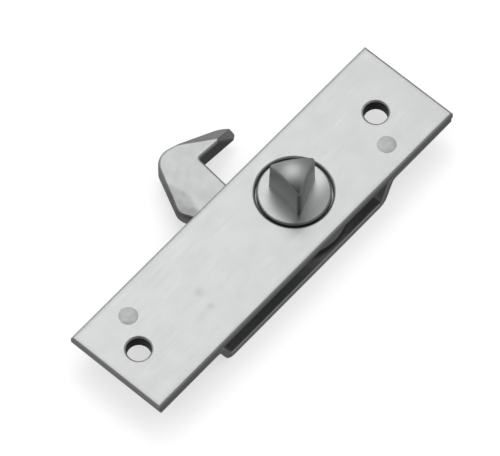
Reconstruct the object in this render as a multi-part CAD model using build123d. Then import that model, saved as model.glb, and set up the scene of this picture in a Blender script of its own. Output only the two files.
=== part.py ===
from build123d import *
import os
from math import asin, atan2, cos, degrees, hypot, radians, sin, tan

# A hook-bolt rim lock, in millimetres. X runs along the front plate towards the end nearer
# the key spindle, Y towards the side where the hook comes out, Z out of the plate's front
# face. The origin is midway between the two screw holes, on the front face.

# Front plate, a steel blanking with its face edges rounded by the die
plate_length = 94.0
plate_width = 25.0
plate_thickness = 1.6
plate_corner_radius = 0.3
plate_edge_radius = 0.6

# Screw holes through the plate and the strip behind it, at these distances from its two ends
screw_far_margin = 7.5
screw_near_margin = 10.8
screw_hole_diameter = 5.2
screw_hole_edge_radius = 0.6

# Rivets, one near each screw hole, on opposite sides of the centre line
rivet_diameter = 2.9
rivet_inset = 4.4
rivet_offset = 6.85
rivet_head_diameter = 4.1
rivet_head_depth = 0.9
rivet_tail_diameter = 4.8
rivet_tail_height = 1.1
rivet_clearance = 0.05

# Back strip, folded like a shallow hat; the depth is from the front face to its back
case_depth = 10.0
strip_thickness = 1.6
strip_end_setback = 0.6
strip_flange_length = 19.15
strip_bend_run = 2.7
strip_bend_radius = 2.0
strip_edge_radius = 0.45

# Key spindle, a die casting that turns in the plate and in the strip
spindle_end_distance = 36.9
spindle_y = 0.3
drum_diameter = 16.0
drum_proud = 0.15
drum_edge_radius = 0.45
drum_bore_clearance = 0.35
drum_bore_edge_radius = 0.55
collar_diameter = 18.6
collar_thickness = 1.1
collar_play = 0.2
square_width = 9.0
square_corner_radius = 0.6
square_clearance = 0.05
journal_diameter = 7.0
journal_clearance = 0.08
journal_setback = 0.2
journal_edge_chamfer = 0.5

# Three-cornered post on the drum, for the socket key
post_corners = 3
post_circle_diameter = 12.7
post_height = 9.5
post_taper = 0.8
post_corner_radius = 0.7
post_dome_radius = 11.5
post_top_radius = 0.6
post_turn = -7.5

# Hook bolt, a casting; the points of its outline are measured from the spindle's axis
hook_front_play = 0.5
hook_back_room = 1.3
hub_diameter = 23.2
collar_seat_clearance = 0.3
heel_x = -19.4
heel_y = 15.7
heel_radius = 2.6
arm_angle = 62.0
shoulder_radius = 4.4
nose_back_slope = 17.8
nose_back_x = 3.6
nose_back_y = 23.9
nose_back_radius = 5.0
nose_tip_x = 5.6
nose_tip_radius = 0.8
nose_inner_slope = 4.0
throat_x = -6.25
throat_y = 21.3
throat_radius = 0.5
arm_lean = 6.0
arm_foot_y = 5.8
arm_foot_radius = 1.5
bevel_start = 7.0
bevel_facing = 52.2
bevel_tilt = 39.0
ramp_start = 5.0
ramp_facing = -60.0
ramp_tilt = 60.0
relief_wall = 2.6
relief_facing = 165.0
relief_tilt = 30.0
hook_cut_size = 30.0
hook_edge_radius = 0.6

# Swing of the hook, and the pin and groove that end it both ways
hook_swing = 70.0
stop_orbit = 8.9
stop_angle = -55.0
stop_pin_diameter = 2.5
stop_pin_clearance = 0.15
stop_groove_depth = 1.9
stop_pin_reach = 1.6
stop_shoulder_diameter = 4.0
stop_shoulder_height = 0.6
stop_head_diameter = 3.6
stop_head_depth = 0.6
stop_seat_clearance = 0.03

# Dished spring washer between the hub and the strip
spring_rim_gap = 0.3
spring_mouth_gap = 0.3
spring_thickness = 0.4
spring_play = 0.15

# Places that follow from the sizes above
screw_spacing = plate_length - screw_far_margin - screw_near_margin
plate_middle = (screw_near_margin - screw_far_margin) / 2
flange_back = -plate_thickness - strip_thickness
pan_front = -case_depth + strip_thickness
collar_front = -plate_thickness - collar_play
collar_back = collar_front - collar_thickness
hook_front = -plate_thickness - hook_front_play
hook_back = pan_front + hook_back_room
hook_thickness = hook_front - hook_back
spindle = Pos(plate_middle + plate_length / 2 - spindle_end_distance, spindle_y)
screw_places = [Pos(x, 0) for x in (-screw_spacing / 2, screw_spacing / 2)]
rivet_places = [
    Pos(side * (screw_spacing / 2 - rivet_inset), -side * rivet_offset) for side in (-1, 1)
]
stop_place = spindle * Pos(
    stop_orbit * cos(radians(stop_angle)), stop_orbit * sin(radians(stop_angle))
)


def upright(radius, low, high):
    """A round bar or hole along Z, from one height to another."""
    return Pos(0, 0, low) * Cylinder(radius, high - low, align=(Align.CENTER, Align.CENTER, Align.MIN))


def turned(outline):
    """A turned piece about Z, from its half section as (radius, height) points."""
    section = make_face(Polyline(*outline, close=True))
    return revolve(Plane.XZ * section, Axis.Z)


def rivet_outline(clearance):
    """Half section of a rivet, or of its hole when the clearance is added all round."""
    shank = rivet_diameter / 2 + clearance
    head = rivet_head_diameter / 2 + clearance
    return [(0, 0), (head, 0), (shank, -rivet_head_depth), (shank, flange_back), (0, flange_back)]


def stop_pin_outline(clearance):
    """Half section of the stop pin's riveted end, flush with the strip's back."""
    shank = stop_pin_diameter / 2 + clearance
    head = stop_head_diameter / 2 + clearance
    seat = -case_depth + stop_head_depth
    return [(0, -case_depth), (head, -case_depth), (shank, seat), (shank, pan_front), (0, pan_front)]


def front_plate():
    """Flat plate with a bore for the drum; the face edges are rounded, the back ones are sharp."""
    plate = extrude(Rectangle(plate_length, plate_width), -plate_thickness)
    plate = fillet(plate.faces().sort_by(Axis.Z)[-1].edges(), plate_edge_radius)
    corners = fillet(Rectangle(plate_length, plate_width).vertices(), plate_corner_radius)
    plate &= extrude(corners, -plate_thickness)
    plate = Pos(plate_middle, 0) * plate

    bore = drum_diameter / 2 + drum_bore_clearance
    holes = [(spindle, bore, drum_bore_edge_radius)]
    holes += [(place, screw_hole_diameter / 2, screw_hole_edge_radius) for place in screw_places]
    for place, radius, edge_radius in holes:
        plate -= place * upright(radius, -plate_thickness, 0)
        rims = plate.edges().filter_by(GeomType.CIRCLE)
        plate = fillet(rims.sort_by_distance(place.position)[0], edge_radius)
    for place in rivet_places:
        plate -= place * turned(rivet_outline(rivet_clearance))
    return plate


def back_strip():
    """Strip folded by two S-bends; its ends lie under the plate and its pan carries the spindle."""
    flange_level = -plate_thickness - strip_thickness / 2
    pan_level = -case_depth + strip_thickness / 2
    end_reach = plate_length / 2 - strip_end_setback
    bend_reach = end_reach - strip_flange_length
    pan_reach = bend_reach - strip_bend_run
    centre_line = FilletPolyline(
        (-end_reach, flange_level),
        (-bend_reach, flange_level),
        (-pan_reach, pan_level),
        (pan_reach, pan_level),
        (bend_reach, flange_level),
        (end_reach, flange_level),
        radius=strip_bend_radius,
    )
    section = Plane.XZ * trace(centre_line, strip_thickness)
    strip = extrude(section, plate_width / 2, both=True)
    strip = Pos(plate_middle, 0) * strip

    # The long edges are rolled over by the shear, the cut ends stay sharp
    side_edges = strip.faces().filter_by(Axis.Y).edges()
    strip = fillet(side_edges.filter_by(Axis.Z, reverse=True), strip_edge_radius)

    for place in screw_places:
        strip -= place * upright(screw_hole_diameter / 2, flange_back, -plate_thickness)
    for place in rivet_places:
        strip -= place * turned(rivet_outline(rivet_clearance))
    strip -= spindle * upright(journal_diameter / 2 + journal_clearance, -case_depth, pan_front)
    strip -= stop_place * turned(stop_pin_outline(stop_seat_clearance))
    return strip


def rivet(place):
    """Solid rivet: a flush head in the plate and a domed tail under the strip's end."""
    tail_radius = rivet_tail_diameter / 2
    dome_radius = (tail_radius ** 2 + rivet_tail_height ** 2) / (2 * rivet_tail_height)
    dome = Pos(0, 0, flange_back - rivet_tail_height + dome_radius) * Sphere(dome_radius)
    dome &= upright(tail_radius, flange_back - rivet_tail_height, flange_back)
    return place * (turned(rivet_outline(0)) + dome)


def key_post():
    """Tapered three-cornered post with rounded corners and a softly domed top."""
    foot = Rot(0, 0, post_turn) * RegularPolygon(post_circle_diameter / 2, post_corners)
    post = extrude(Pos(0, 0, drum_proud) * foot, post_height, taper=post_taper)
    upright_edges = post.edges().filter_by(Plane.XY, reverse=True)
    post = fillet(upright_edges, post_corner_radius)
    post &= Pos(0, 0, drum_proud + post_height - post_dome_radius) * Sphere(post_dome_radius)
    return fillet(post.faces().sort_by(Axis.Z)[-1].edges(), post_top_radius)


def key_spindle():
    """Drum, collar, driving square and tail journal on one axis, with the key's post on top."""
    drum = upright(drum_diameter / 2, collar_front, drum_proud)
    drum = fillet(drum.faces().sort_by(Axis.Z)[-1].edges(), drum_edge_radius)
    collar = upright(collar_diameter / 2, collar_back, collar_front)
    square = Rectangle(square_width, square_width)
    square = fillet(square.vertices(), square_corner_radius)
    square = extrude(Pos(0, 0, hook_back) * square, collar_back - hook_back)
    journal = upright(journal_diameter / 2, -case_depth + journal_setback, hook_back)
    journal = chamfer(journal.faces().sort_by(Axis.Z)[0].edges(), journal_edge_chamfer)
    return spindle * (drum + collar + square + journal + key_post())


def hook_outline():
    """Outline of the hook about the spindle's axis: a round hub with the arm and nose on it."""
    hub_radius = hub_diameter / 2
    heel = Vector(heel_x, heel_y)
    throat = Vector(throat_x, throat_y)
    nose_back = Vector(nose_back_x, nose_back_y)
    nose_tip = Vector(nose_tip_x, throat_y - (nose_tip_x - throat_x) * tan(radians(nose_inner_slope)))

    # The arm's back edge and the nose's back edge meet at the shoulder
    rise = tan(radians(arm_angle))
    fall = tan(radians(nose_back_slope))
    shoulder_x = (nose_back.Y - heel.Y + heel.X * rise + nose_back.X * fall) / (rise + fall)
    shoulder = Vector(shoulder_x, heel.Y + (shoulder_x - heel.X) * rise)

    # From the heel the edge runs down as a tangent to the hub
    heel_reach = hypot(heel.X, heel.Y)
    tangent_turn = degrees(atan2(heel.Y, heel.X)) + 90 - degrees(asin(hub_radius / heel_reach))
    tangent = Vector(hub_radius, 0).rotate(Axis.Z, tangent_turn)

    # The throat side of the arm leans back and dies into the hub
    foot = Vector(throat.X - (throat.Y - arm_foot_y) * tan(radians(arm_lean)), arm_foot_y)

    arm = make_face(
        Polyline(heel, shoulder, nose_back, nose_tip, throat, foot, Vector(0, 0), tangent, close=True)
    )
    outline = Sketch() + [arm, Circle(hub_radius)]
    corners = [
        (heel, heel_radius),
        (shoulder, shoulder_radius),
        (nose_back, nose_back_radius),
        (nose_tip, nose_tip_radius),
        (throat, throat_radius),
        (foot, arm_foot_radius),
    ]
    for corner, radius in corners:
        outline = fillet(outline.vertices().sort_by_distance(corner)[0], radius)
    return outline


def nose_point(start):
    """Point on the nose's inner edge at the front face, at a distance from the throat."""
    return Vector(throat_x + start, throat_y - start * tan(radians(nose_inner_slope)), hook_front)


def waste_beyond(point, facing, tilt, side):
    """Waste beyond a plane through a point of the hook, tilted from the front face."""
    normal = Vector(0, 0, 1).rotate(Axis.Y, tilt).rotate(Axis.Z, facing)
    waste = Box(hook_cut_size, hook_cut_size, hook_thickness, align=(side, Align.CENTER, Align.MIN))
    return Plane(origin=point, x_dir=(1, 0, 0), z_dir=normal) * waste


def hook_bolt():
    """Cast hook: shaped nose, square hole, seat for the collar and groove for the stop pin."""
    hook = extrude(Pos(0, 0, hook_back) * hook_outline(), hook_thickness)
    hook = fillet(hook.faces().sort_by(Axis.Z)[-1].edges(), hook_edge_radius)

    # The nose is bevelled in front and ramped inside, so that it draws itself in
    hook -= waste_beyond(nose_point(bevel_start), bevel_facing, bevel_tilt, Align.CENTER)
    hook -= waste_beyond(nose_point(ramp_start), ramp_facing, ramp_tilt, Align.MIN)

    # The back is relieved towards the heel, which leaves a low side there
    heel_side = Vector(heel_x, heel_y, hook_front - relief_wall)
    hook -= waste_beyond(heel_side, relief_facing, 180 - relief_tilt, Align.CENTER)

    seat_radius = collar_diameter / 2 + collar_seat_clearance
    hook -= upright(seat_radius, collar_back, hook_front)
    hole_width = square_width + 2 * square_clearance
    hole = fillet(Rectangle(hole_width, hole_width).vertices(), square_corner_radius)
    hook -= extrude(Pos(0, 0, hook_back) * hole, hook_thickness)
    groove_line = CenterArc((0, 0), stop_orbit, stop_angle - hook_swing, hook_swing)
    groove = SlotArc(groove_line, stop_pin_diameter + 2 * stop_pin_clearance)
    hook -= extrude(Pos(0, 0, hook_back) * groove, stop_groove_depth)
    return spindle * hook


def disc_spring():
    """Dished washer: its rim lies on the strip and its mouth rises to the hub."""
    rim = stop_orbit - stop_shoulder_diameter / 2 - spring_rim_gap
    mouth = journal_diameter / 2 + spring_mouth_gap
    lift = hook_back - pan_front - spring_play - spring_thickness
    section = [
        (mouth, pan_front + lift),
        (rim, pan_front),
        (rim, pan_front + spring_thickness),
        (mouth, pan_front + lift + spring_thickness),
    ]
    return spindle * turned(section)


def stop_pin():
    """Shouldered pin: it stands on the strip, reaches into the hub's groove, and is riveted over."""
    shank = stop_pin_diameter / 2
    pin = turned(stop_pin_outline(0))
    pin += upright(stop_shoulder_diameter / 2, pan_front, pan_front + stop_shoulder_height)
    pin += upright(shank, pan_front, hook_back + stop_pin_reach)
    return stop_place * pin


pieces = {
    "front_plate": front_plate(),
    "back_strip": back_strip(),
    "key_spindle": key_spindle(),
    "hook_bolt": hook_bolt(),
    "disc_spring": disc_spring(),
    "stop_pin": stop_pin(),
}
for number, place in enumerate(rivet_places, start=1):
    pieces[f"rivet_{number}"] = rivet(place)

os.makedirs("parts", exist_ok=True)
for node, piece in pieces.items():
    export_step(piece, f"parts/{node}.step")
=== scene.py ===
import math

import bpy
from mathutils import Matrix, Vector


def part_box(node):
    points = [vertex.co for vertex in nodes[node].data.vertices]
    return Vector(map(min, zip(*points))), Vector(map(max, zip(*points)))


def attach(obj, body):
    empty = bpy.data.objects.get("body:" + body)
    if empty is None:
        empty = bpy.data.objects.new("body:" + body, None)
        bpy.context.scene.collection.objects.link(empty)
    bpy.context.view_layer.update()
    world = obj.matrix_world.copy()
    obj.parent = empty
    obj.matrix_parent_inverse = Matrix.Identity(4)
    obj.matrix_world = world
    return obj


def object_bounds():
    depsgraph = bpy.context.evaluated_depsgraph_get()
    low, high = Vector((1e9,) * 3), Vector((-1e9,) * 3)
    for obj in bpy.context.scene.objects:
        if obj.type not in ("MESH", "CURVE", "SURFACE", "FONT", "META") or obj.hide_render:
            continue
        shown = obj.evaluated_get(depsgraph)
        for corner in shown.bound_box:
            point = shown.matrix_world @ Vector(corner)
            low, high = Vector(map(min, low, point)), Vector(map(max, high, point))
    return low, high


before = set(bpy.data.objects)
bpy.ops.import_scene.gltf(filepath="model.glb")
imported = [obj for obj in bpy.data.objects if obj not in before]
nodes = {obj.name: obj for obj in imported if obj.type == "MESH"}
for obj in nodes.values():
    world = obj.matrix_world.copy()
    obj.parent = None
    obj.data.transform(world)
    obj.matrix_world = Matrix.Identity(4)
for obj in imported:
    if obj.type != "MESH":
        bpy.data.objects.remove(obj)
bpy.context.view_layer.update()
mm = 0.001
up = (0, 0, 1)
spindleAxis = (11.75 * mm, 0.3 * mm, 0)
# painted shade in the round gap
gapShade = "#b2b3b3"  # on both sides of the round gap between the drum and the plate


def toLinear(hexColour):
    # sRGB hex, as a colour picker shows it, to the linear values that Blender wants
    channels = [int(hexColour[i:i + 2], 16) / 255 for i in (1, 3, 5)]
    linear = [c / 12.92 if c <= 0.04045 else ((c + 0.055) / 1.055) ** 2.4 for c in channels]
    return (*linear, 1)


def addNode(tree, kind, settings=None, links=None):
    # adds one node; a setting is the stops of a colour ramp, a property or the value of an input
    node = tree.nodes.new(kind)
    for key, value in (settings or {}).items():
        if key == "stops":
            for stop, (position, colour) in zip(node.color_ramp.elements, value):
                stop.position = position
                stop.color = toLinear(colour)
        elif isinstance(key, str) and hasattr(node, key):
            setattr(node, key, value)
        else:
            node.inputs[key].default_value = value
    for key, source in (links or {}).items():
        tree.links.new(source, node.inputs[key])
    return node


def startMaterial(name):
    material = bpy.data.materials.new(name)
    material.use_nodes = True
    tree = material.node_tree
    tree.nodes.clear()
    output = addNode(tree, "ShaderNodeOutputMaterial")
    shader = addNode(tree, "ShaderNodeBsdfPrincipled")
    tree.links.new(shader.outputs["BSDF"], output.inputs["Surface"])
    place = addNode(tree, "ShaderNodeTexCoord").outputs["Object"]
    return material, tree, shader, place


def finishMetal(tree, shader, colour, sheen, bump=None):
    shader.inputs["Metallic"].default_value = 1
    tree.links.new(colour, shader.inputs["Base Color"])
    tree.links.new(sheen.outputs["Result"], shader.inputs["Roughness"])
    if bump:
        tree.links.new(bump.outputs["Normal"], shader.inputs["Normal"])


def shareAlong(tree, source, side, fade, blend="LINEAR"):
    # from 0 to 1 as the distance towards one side goes from the fade's first value to its second
    along = addNode(tree, "ShaderNodeVectorMath", {"operation": "DOT_PRODUCT", 1: side},
                    {0: source})
    share = addNode(tree, "ShaderNodeMapRange",
                    {"From Min": fade[0], "From Max": fade[1], "interpolation_type": blend},
                    {"Value": along.outputs["Value"]})
    return share.outputs["Result"]


def shareRound(tree, source, axis, fade):
    # the same for the distance from an upright axis, seen from above
    flat = addNode(tree, "ShaderNodeVectorMath", {"operation": "MULTIPLY", 1: (1, 1, 0)},
                   {0: source})
    reach = addNode(tree, "ShaderNodeVectorMath", {"operation": "DISTANCE", 1: axis},
                    {0: flat.outputs["Vector"]})
    share = addNode(tree, "ShaderNodeMapRange", {"From Min": fade[0], "From Max": fade[1]},
                    {"Value": reach.outputs["Value"]})
    return share.outputs["Result"]


def overlap(tree, shares):
    # where all the shares meet
    product = shares[0]
    for share in shares[1:]:
        both = addNode(tree, "ShaderNodeMath", {"operation": "MULTIPLY"}, {0: product, 1: share})
        product = both.outputs["Value"]
    return product


def layTints(tree, colour, layers):
    # each layer is a share and the tint that it lays over the colour below
    for share, tint in layers:
        mixed = addNode(tree, "ShaderNodeMix", {"data_type": "RGBA", 7: toLinear(tint)},
                        {0: share, 6: colour})
        colour = mixed.outputs[2]
    return colour


def giveMaterial(names, material):
    for name in names:
        nodes[name].data.materials.clear()
        nodes[name].data.materials.append(material)


# Zinc-plated cold-rolled steel, barrel polished: an even pale satin grey. The rolling grain runs
# along the strip and is barely seen, and the plating is faintly cloudy, a few millimetres across.
# Two small rub marks lie near the middle. The bores of the screw holes are darkened with painted
# shade, painted shade lies on the edge of the drum's bore, and the plate is darker along its
# outline with painted shade of the rounded edge. The real grit is about 0.03 mm and is drawn
# coarser here so that it shows.
rolledSteel = {
    "tones": [(0.36, "#d7d8d8"), (0.62, "#dcdddd")],
    "cloudSize": 6.0 * mm,
    "grainWidth": 0.30 * mm,
    "grainLength": 9.0 * mm,
    "gritSize": 0.10 * mm,
    "gritShare": 0.45,
    "grainHeight": 0.005 * mm,
    "roughness": (0.31, 0.43),
    "rubbedZinc": "#b9baba",
    "rubMarks": [((-19.4, -0.6), 1.5), ((-20.2, -4.6), 1.1)],  # place and radius in mm
    # painted shade inside the bores of the screw holes
    "shadedBore": "#3c3d3e",
    "screwHole": (37.85 * mm, 0, 0),
    "holeFade": (2.78 * mm, 2.68 * mm),
    "lipFade": (0, -0.42 * mm),
    # how far the painted shade of the round gap reaches on the plate
    "boreShadeFade": (8.9 * mm, 8.5 * mm),
    "undersideBlur": 0.2 * mm,
    # painted shade of the rounded edge along the outline
    "edgeShade": "#cbcccc",
    "edgeFade": (1.3 * mm, 0.2 * mm),
}


def rubMarkLayers(tree, place, grain):
    # soft round marks, broken up by the grain
    layers = []
    for (x, y), size in rolledSteel["rubMarks"]:
        centred = addNode(tree, "ShaderNodeMapping",
                          {"Location": (-x / size, -y / size, 0), "Scale": (1 / (size * mm),) * 3},
                          {"Vector": place})
        spot = addNode(tree, "ShaderNodeTexGradient", {"gradient_type": "SPHERICAL"},
                       {"Vector": centred.outputs["Vector"]})
        share = overlap(tree, [spot.outputs["Fac"], grain.outputs["Fac"]])
        layers.append((share, rolledSteel["rubbedZinc"]))
    return layers


def screwBoreShadeShare(tree, place):
    # painted shade below the lip of the two screw holes, which lie the same way from the origin
    f = rolledSteel
    folded = addNode(tree, "ShaderNodeVectorMath", {"operation": "ABSOLUTE"}, {0: place})
    inHole = shareRound(tree, folded.outputs["Vector"], f["screwHole"], f["holeFade"])
    return overlap(tree, [inHole, shareAlong(tree, place, up, f["lipFade"])])


def drumBoreShadeShare(tree, place):
    # painted shade on the edge of the drum's bore, no deeper than the plate
    f = rolledSteel
    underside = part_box("front_plate")[0].z
    nearBore = shareRound(tree, place, spindleAxis, f["boreShadeFade"])
    inPlate = shareAlong(tree, place, up, (underside - f["undersideBlur"], underside))
    return overlap(tree, [nearBore, inPlate])


def outlineShadeShare(tree, place):
    # painted shade in a band along the outline, for the rounded edge where the shears drew the face
    # down
    low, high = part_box("front_plate")
    centred = addNode(tree, "ShaderNodeVectorMath",
                      {"operation": "SUBTRACT", 1: ((low.x + high.x) / 2, (low.y + high.y) / 2, 0)},
                      {0: place})
    mirrored = addNode(tree, "ShaderNodeVectorMath", {"operation": "ABSOLUTE"},
                       {0: centred.outputs["Vector"]})
    inward = addNode(tree, "ShaderNodeVectorMath",
                     {"operation": "SUBTRACT", 0: ((high.x - low.x) / 2, (high.y - low.y) / 2, 0)},
                     {1: mirrored.outputs["Vector"]})
    sides = addNode(tree, "ShaderNodeSeparateXYZ", {}, {"Vector": inward.outputs["Vector"]})
    nearest = addNode(tree, "ShaderNodeMath", {"operation": "MINIMUM"},
                      {0: sides.outputs["X"], 1: sides.outputs["Y"]})
    start, end = rolledSteel["edgeFade"]
    share = addNode(tree, "ShaderNodeMapRange", {"From Min": start, "From Max": end},
                    {"Value": nearest.outputs["Value"]})
    return share.outputs["Result"]


def zincPlatedSteel():
    material, tree, shader, place = startMaterial("zincPlatedColdRolledSteel")
    f = rolledSteel
    clouds = addNode(tree, "ShaderNodeTexNoise",
                     {"Scale": 1 / f["cloudSize"], "Detail": 5, "Roughness": 0.6},
                     {"Vector": place})
    along = addNode(tree, "ShaderNodeMapping",
                    {"Scale": (1 / f["grainLength"], 1 / f["grainWidth"], 1 / f["grainWidth"])},
                    {"Vector": place})
    grain = addNode(tree, "ShaderNodeTexNoise", {"Scale": 1.0, "Detail": 3},
                    {"Vector": along.outputs["Vector"]})
    grit = addNode(tree, "ShaderNodeTexNoise", {"Scale": 1 / f["gritSize"], "Detail": 2},
                   {"Vector": place})
    zinc = addNode(tree, "ShaderNodeValToRGB", {"stops": f["tones"]},
                   {"Fac": clouds.outputs["Fac"]})
    colour = layTints(tree, zinc.outputs["Color"], [
        *rubMarkLayers(tree, place, grain),
        (screwBoreShadeShare(tree, place), f["shadedBore"]),
        (drumBoreShadeShare(tree, place), gapShade),
        (outlineShadeShare(tree, place), f["edgeShade"]),
    ])
    sheen = addNode(tree, "ShaderNodeMapRange",
                    {"To Min": f["roughness"][0], "To Max": f["roughness"][1]},
                    {"Value": grain.outputs["Fac"]})
    relief = addNode(tree, "ShaderNodeMix", {"data_type": "FLOAT", 0: f["gritShare"]},
                     {2: grain.outputs["Fac"], 3: grit.outputs["Fac"]})
    bump = addNode(tree, "ShaderNodeBump", {"Strength": 0.5, "Distance": f["grainHeight"]},
                   {"Height": relief.outputs[0]})
    finishMetal(tree, shader, colour, sheen, bump)
    return material


# Zinc die casting, satin plated: the die's spark-eroded skin shows as a soft even grain, a little
# darker than the rolled steel. The real grain is finer and is drawn coarser here so that it shows.
castingFinish = {
    "cloudSize": 2.6 * mm,
    "grainSize": 0.20 * mm,
    "grainHeight": 0.007 * mm,
    "roughness": (0.30, 0.40),
}

# On the spindle a darker half moon on one side of the drum and the post is painted shade, where the
# post's shadow and reflection fall on the drum; the post is duller towards its top, and painted
# shade lies on the drum's rim
spindleFinish = {
    "tones": [(0.34, "#cccdcd"), (0.64, "#d3d4d4")],
    # painted shade: the post's shadow and reflection darken one side of the drum
    "halfMoonShade": "#999a9a",
    "halfMoonSide": (0.15, -0.99, 0),
    "halfMoonFade": (2.6 * mm, 6.4 * mm),
    "postTop": "#b9baba",
    "postFade": (3.0 * mm, 8.5 * mm),
    # painted shade on the drum's rim, by the round gap
    "rimShadeFade": (7.55 * mm, 7.9 * mm),
}

# On the hook a darker patch lies along the outer side down to the heel, and the nose's inner wall
# is darkened with painted shade, as the throat lies deep in shadow
hookFinish = {
    "tones": [(0.34, "#c1c2c2"), (0.64, "#cacbcb")],
    "patchTone": "#999a9a",
    "patchEdge": [(-3.6, 22.4), (-2.6, 17.9), (-4.1, 13.4)],  # mm
    "patchBlur": (-0.5 * mm, 0.45 * mm),
    "blotchSize": 2.6 * mm,
    "blotchRange": (0.3, 0.65),
    "blotchCover": (1.0, 0.45),
    # painted shade on the nose's inner wall
    "throatShade": "#8f9090",
    "throat": (5.5, 21.6),  # mm
    "innerSlope": -4.0,
    "wallDepth": 0.30 * mm,
    "throatFade": (5.2 * mm, 5.6 * mm),
    "sunkFade": (-2.35 * mm, -2.9 * mm),
}


def spindleTintsAndShade(tree, place):
    f = spindleFinish
    fromAxis = addNode(tree, "ShaderNodeVectorMath", {"operation": "SUBTRACT", 1: spindleAxis},
                       {0: place})
    halfMoonShade = shareAlong(tree, fromAxis.outputs["Vector"], f["halfMoonSide"], f["halfMoonFade"],
                        "SMOOTHSTEP")
    # the half moon and the rim's tint are painted shade
    return [
        (halfMoonShade, f["halfMoonShade"]),
        (shareAlong(tree, place, up, f["postFade"]), f["postTop"]),
        (shareRound(tree, place, spindleAxis, f["rimShadeFade"]), gapShade),
    ]


def hookPatchAndShade(tree, place):
    f = hookFinish
    # the patch lies outside two lines that meet at its corner, and its cover is blotchy
    shares = []
    for (x1, y1), (x2, y2) in zip(f["patchEdge"], f["patchEdge"][1:]):
        run = math.hypot(x2 - x1, y2 - y1)
        outward = ((y2 - y1) / run, -(x2 - x1) / run, 0)
        line = (x1 * outward[0] + y1 * outward[1]) * mm
        shares.append(shareAlong(tree, place, outward, [line + blur for blur in f["patchBlur"]]))
    blotches = addNode(tree, "ShaderNodeTexNoise", {"Scale": 1 / f["blotchSize"], "Detail": 4},
                       {"Vector": place})
    cover = addNode(tree, "ShaderNodeMapRange",
                    {"From Min": f["blotchRange"][0], "From Max": f["blotchRange"][1],
                     "To Min": f["blotchCover"][0], "To Max": f["blotchCover"][1]},
                    {"Value": blotches.outputs["Fac"]})
    patch = overlap(tree, [*shares, cover.outputs["Result"]])

    # painted shade on the nose's inner wall: a thin sloping slab, from the throat on and below the
    # bevel
    slope = math.radians(f["innerSlope"])
    across = (-math.sin(slope), math.cos(slope), 0)
    wall = (f["throat"][0] * across[0] + f["throat"][1] * across[1]) * mm
    offWall = addNode(tree, "ShaderNodeVectorMath", {"operation": "DOT_PRODUCT", 1: across},
                      {0: place})
    onWall = addNode(tree, "ShaderNodeMath", {"operation": "COMPARE", 1: wall, 2: f["wallDepth"]},
                     {0: offWall.outputs["Value"]})
    shadedInnerWall = overlap(tree, [
        onWall.outputs["Value"],
        shareAlong(tree, place, (1, 0, 0), f["throatFade"]),
        shareAlong(tree, place, up, f["sunkFade"]),
    ])
    return [(patch, f["patchTone"]), (shadedInnerWall, f["throatShade"])]


def platedCasting(name, tones, tintsAndShade):
    material, tree, shader, place = startMaterial(name)
    f = castingFinish
    clouds = addNode(tree, "ShaderNodeTexNoise", {"Scale": 1 / f["cloudSize"], "Detail": 4},
                     {"Vector": place})
    grain = addNode(tree, "ShaderNodeTexNoise", {"Scale": 1 / f["grainSize"], "Detail": 4},
                    {"Vector": place})
    zinc = addNode(tree, "ShaderNodeValToRGB", {"stops": tones},
                   {"Fac": clouds.outputs["Fac"]})
    sheen = addNode(tree, "ShaderNodeMapRange",
                    {"To Min": f["roughness"][0], "To Max": f["roughness"][1]},
                    {"Value": grain.outputs["Fac"]})
    bump = addNode(tree, "ShaderNodeBump", {"Strength": 0.5, "Distance": f["grainHeight"]},
                   {"Height": grain.outputs["Fac"]})
    finishMetal(tree, shader, layTints(tree, zinc.outputs["Color"], tintsAndShade(tree, place)), sheen, bump)
    return material


# Rivet ends, peened and dressed, then plated: a little darker and rougher than the plate, and
# speckled by the hammer. The speckles and their grit are drawn coarser than real ones, so that
# they show.
rivetFinish = {
    "tones": [(0.38, "#d0d1d1"), (0.6, "#dadbdb")],
    "speckleSize": 1.1 * mm,
    "gritSize": 0.16 * mm,
    "roughness": (0.38, 0.55),
    "dentHeight": 0.008 * mm,
}


def peenedRivet():
    material, tree, shader, place = startMaterial("peenedZincPlatedRivet")
    f = rivetFinish
    speckle = addNode(tree, "ShaderNodeTexNoise", {"Scale": 1 / f["speckleSize"], "Detail": 3},
                      {"Vector": place})
    grit = addNode(tree, "ShaderNodeTexNoise", {"Scale": 1 / f["gritSize"], "Detail": 2},
                   {"Vector": place})
    zinc = addNode(tree, "ShaderNodeValToRGB", {"stops": f["tones"]},
                   {"Fac": speckle.outputs["Fac"]})
    sheen = addNode(tree, "ShaderNodeMapRange",
                    {"To Min": f["roughness"][0], "To Max": f["roughness"][1]},
                    {"Value": grit.outputs["Fac"]})
    bump = addNode(tree, "ShaderNodeBump", {"Strength": 0.6, "Distance": f["dentHeight"]},
                   {"Height": speckle.outputs["Fac"]})
    finishMetal(tree, shader, zinc.outputs["Color"], sheen, bump)
    return material


# Oiled, hardened spring steel: darker and bluish beside the zinc, with a thin uneven film of oil,
# glossier where the film is thick
springFinish = {
    "steel": "#8f9499",
    "oiled": "#6f747a",
    "filmSize": 2.2 * mm,
    "roughness": (0.36, 0.22),
}


def oiledSpringSteel():
    material, tree, shader, place = startMaterial("oiledSpringSteel")
    f = springFinish
    film = addNode(tree, "ShaderNodeTexNoise", {"Scale": 1 / f["filmSize"], "Detail": 3},
                   {"Vector": place})
    tone = addNode(tree, "ShaderNodeMix",
                   {"data_type": "RGBA", 6: toLinear(f["steel"]), 7: toLinear(f["oiled"])},
                   {0: film.outputs["Fac"]})
    sheen = addNode(tree, "ShaderNodeMapRange",
                    {"To Min": f["roughness"][0], "To Max": f["roughness"][1]},
                    {"Value": film.outputs["Fac"]})
    finishMetal(tree, shader, tone.outputs[2], sheen)
    return material


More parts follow.
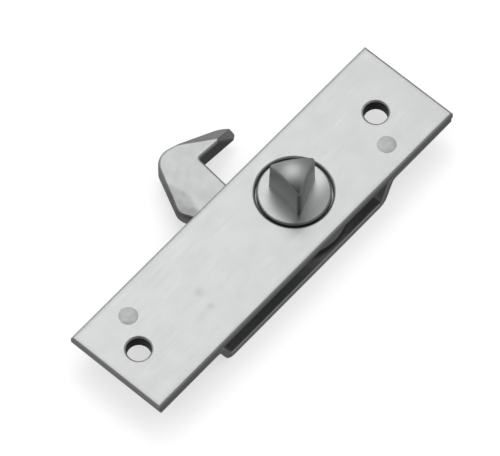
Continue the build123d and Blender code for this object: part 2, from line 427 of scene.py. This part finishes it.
rivetMetal = peenedRivet()
giveMaterial(["front_plate", "back_strip"], zincPlatedSteel())
giveMaterial(["rivet_1", "rivet_2", "stop_pin"], rivetMetal)
giveMaterial(["key_spindle"],
             platedCasting("satinPlatedZincCasting", spindleFinish["tones"], spindleTintsAndShade))
giveMaterial(["hook_bolt"],
             platedCasting("satinPlatedZincCastingPatchAndShade", hookFinish["tones"], hookPatchAndShade))
giveMaterial(["disc_spring"], oiledSpringSteel())
print("materials on", len(nodes), "pieces")


# The peened head of a rivet: a shallow crown, a hair proud of the plate, with a shrunk rim and the
# flats that the hammer left
rivetHead = {
    "radius": 2.12 * mm,
    "corners": 48,
    "rings": 10,
    "crown": 0.11 * mm,
    "crownPower": 2.4,
    "rimDepth": 0.015 * mm,
    "rimPower": 6,
    "dents": [((0.7, 0.5), 0.95), ((-0.9, 0.2), 0.85),  # place and radius in mm
              ((0.1, -1.0), 0.9), ((-0.2, 1.1), 0.7)],
    "dentDepth": 0.02 * mm,
}


def makeRivetHead():
    size = rivetHead
    bpy.ops.object.select_all(action="DESELECT")
    bpy.ops.mesh.primitive_circle_add(vertices=size["corners"], radius=size["radius"],
                                      fill_type="NGON")
    head = bpy.context.object
    bpy.ops.object.mode_set(mode="EDIT")
    bpy.ops.mesh.select_all(action="SELECT")
    for ring in range(size["rings"] - 1):
        bpy.ops.mesh.inset(thickness=size["radius"] / size["rings"])
    bpy.ops.mesh.poke()
    bpy.ops.object.mode_set(mode="OBJECT")
    for vertex in head.data.vertices:
        away = vertex.co.length / size["radius"]
        vertex.co.z = (size["crown"] * (1 - away ** size["crownPower"])
                       - size["rimDepth"] * away ** size["rimPower"])
        for (x, y), reach in size["dents"]:
            gap = math.hypot(vertex.co.x - x * mm, vertex.co.y - y * mm) / (reach * mm)
            if gap < 1:
                vertex.co.z -= size["dentDepth"] * (1 - gap * gap) ** 2
    bpy.ops.object.shade_smooth()
    head.data.materials.append(rivetMetal)
    return head


def seatRivetHead(head, number):
    low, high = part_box("rivet_" + str(number))
    head.name = "rivetHead_" + str(number)
    head.location = ((low.x + high.x) / 2, (low.y + high.y) / 2, high.z)
    bpy.ops.object.select_all(action="DESELECT")
    head.select_set(True)
    bpy.context.view_layer.objects.active = head
    bpy.ops.object.transform_apply(location=True, rotation=True, scale=True)
    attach(head, "case")


firstHead = makeRivetHead()
bpy.ops.object.duplicate()
secondHead = bpy.context.object
seatRivetHead(firstHead, 1)
seatRivetHead(secondHead, 2)
print("rivet heads peened")


# The studio: a pale sweep under the lock, a soft box above and behind it with a glow round it that
# the flat faces mirror, and a dim room. The room is darker low down on the camera's side, pale at
# the back, and dark round the camera and its stand, which the post and the rolled edges mirror.
studio = {
    "floorColour": "#f4f4f4",
    "floorGlow": 0.6,
    "floorRoughness": 0.9,
    "floorSize": 4.0,
    "floorDrop": 0.05 * mm,  # keeps the floor clear of the strip's back
    "fibreSize": 30 * mm,
    "fibreHeight": 0.1 * mm,
    "groundColours": ("#828282", "#646464"),  # left, right
    "groundSide": (0.66, -0.75, 0.0),
    "groundFade": (-0.25, 0.35),
    "roomColours": ("#9c9c9c", "#7e7e7e"),  # bright, dim
    "duskSide": (-0.75, -0.66, 0.0),
    "duskFade": (-0.35, 0.12),
    "duskHeight": (0.55, 0.32),
    "horizonFade": (-0.75, 0.0),
    "zones": [  # colour, middle, and the angles from it between which the colour fades out
        ("#cfcfcf", (0.32, 0.355, 0.878), (3, 31)),  # glow
        ("#dadada", (0.30, 0.94, 0.12), (8, 34)),  # backdrop
        ("#262626", (-0.357, -0.315, 0.879), (10, 40)),  # camera
    ],
    "boxSize": 0.54,
    "boxDistance": 1.2,
    "boxPower": 0.90,
    "boxDirection": (0.31, 0.37, 0.876),
    "floorLightSize": 3.0,
    "floorLightHeight": 1.5,
    "floorLightPower": 13.0,
}


def makeFloor():
    bpy.ops.object.select_all(action="DESELECT")
    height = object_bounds()[0][2] - studio["floorDrop"]
    bpy.ops.mesh.primitive_plane_add(size=studio["floorSize"], location=(0, 0, height))
    floor = bpy.context.object
    floor.name = "studioFloor"
    bpy.ops.object.transform_apply(location=True, rotation=True, scale=True)
    material, tree, shader, place = startMaterial("paleMattPaper")
    fibres = addNode(tree, "ShaderNodeTexNoise", {"Scale": 1 / studio["fibreSize"], "Detail": 2},
                     {"Vector": place})
    bump = addNode(tree, "ShaderNodeBump", {"Strength": 0.02, "Distance": studio["fibreHeight"]},
                   {"Height": fibres.outputs["Fac"]})
    shader.inputs["Base Color"].default_value = toLinear(studio["floorColour"])
    shader.inputs["Roughness"].default_value = studio["floorRoughness"]
    shader.inputs["Emission Color"].default_value = toLinear(studio["floorColour"])
    shader.inputs["Emission Strength"].default_value = studio["floorGlow"]
    tree.links.new(bump.outputs["Normal"], shader.inputs["Normal"])
    floor.data.materials.append(material)
    floor.visible_glossy = False


def makeRoom():
    world = bpy.data.worlds.new("dimRoom")
    world.use_nodes = True
    tree = world.node_tree
    tree.nodes.clear()
    output = addNode(tree, "ShaderNodeOutputWorld")
    direction = addNode(tree, "ShaderNodeTexCoord").outputs["Generated"]

    # the ground is darker on the right, away from the light
    left, right = (toLinear(colour) for colour in studio["groundColours"])
    ground = addNode(tree, "ShaderNodeMix", {"data_type": "RGBA", 6: left, 7: right},
                     {0: shareAlong(tree, direction, studio["groundSide"], studio["groundFade"])})
    # low down behind the camera the room is darker
    dusk = overlap(tree, [
        shareAlong(tree, direction, studio["duskSide"], studio["duskFade"], "SMOOTHSTEP"),
        shareAlong(tree, direction, up, studio["duskHeight"]),
    ])
    bright, dim = (toLinear(colour) for colour in studio["roomColours"])
    room = addNode(tree, "ShaderNodeMix", {"data_type": "RGBA", 6: bright, 7: dim}, {0: dusk})
    horizon = shareAlong(tree, direction, up, studio["horizonFade"], "SMOOTHSTEP")
    tone = addNode(tree, "ShaderNodeMix", {"data_type": "RGBA"},
                   {0: horizon, 6: ground.outputs[2], 7: room.outputs[2]})

    layers = []
    for colour, side, angles in studio["zones"]:
        near, far = (math.cos(math.radians(angle)) for angle in angles)
        layers.append((shareAlong(tree, direction, side, (far, near), "SMOOTHSTEP"), colour))
    background = addNode(tree, "ShaderNodeBackground", {"Strength": 1.0},
                         {"Color": layTints(tree, tone.outputs[2], layers)})
    tree.links.new(background.outputs["Background"], output.inputs["Surface"])
    bpy.context.scene.world = world


def addSoftLight(name, size, power, towards, distance):
    light = bpy.data.lights.new(name, "AREA")
    light.size = size
    light.energy = power
    lamp = bpy.data.objects.new(name, light)
    bpy.context.scene.collection.objects.link(lamp)
    towards = Vector(towards).normalized()
    lamp.location = towards * distance
    lamp.rotation_euler = towards.to_track_quat("Z", "Y").to_euler()
    return lamp


makeFloor()
makeRoom()
addSoftLight("softBox", studio["boxSize"], studio["boxPower"], studio["boxDirection"],
             studio["boxDistance"])
floorLight = addSoftLight("floorLight", studio["floorLightSize"], studio["floorLightPower"], up,
                          studio["floorLightHeight"])
floorLight.visible_glossy = False
bpy.context.scene.view_settings.view_transform = "Standard"
print("studio ready")


# The camera stands where the photographer stood: a long lens, turned to the lock's left end
photoView = {
    "turn": -48.57,
    "height": 61.56,
    "distance": 1.368,
    "lens": 466.9,
    "farClip": 10,
    "lookAt": (-0.9 * mm, 1.6 * mm, 0.0),
}


def makeCamera():
    data = bpy.data.cameras.new("photoCamera")
    data.lens = photoView["lens"]
    data.clip_end = photoView["farClip"]
    camera = bpy.data.objects.new("photoCamera", data)
    bpy.context.scene.collection.objects.link(camera)
    turn = math.radians(photoView["turn"])
    height = math.radians(photoView["height"])
    camera.rotation_euler = (math.pi / 2 - height, 0, turn)
    back = Vector((math.sin(turn) * math.cos(height),
                   -math.cos(turn) * math.cos(height),
                   math.sin(height)))
    camera.location = Vector(photoView["lookAt"]) + back * photoView["distance"]
    bpy.context.scene.camera = camera


makeCamera()

print("scene done")
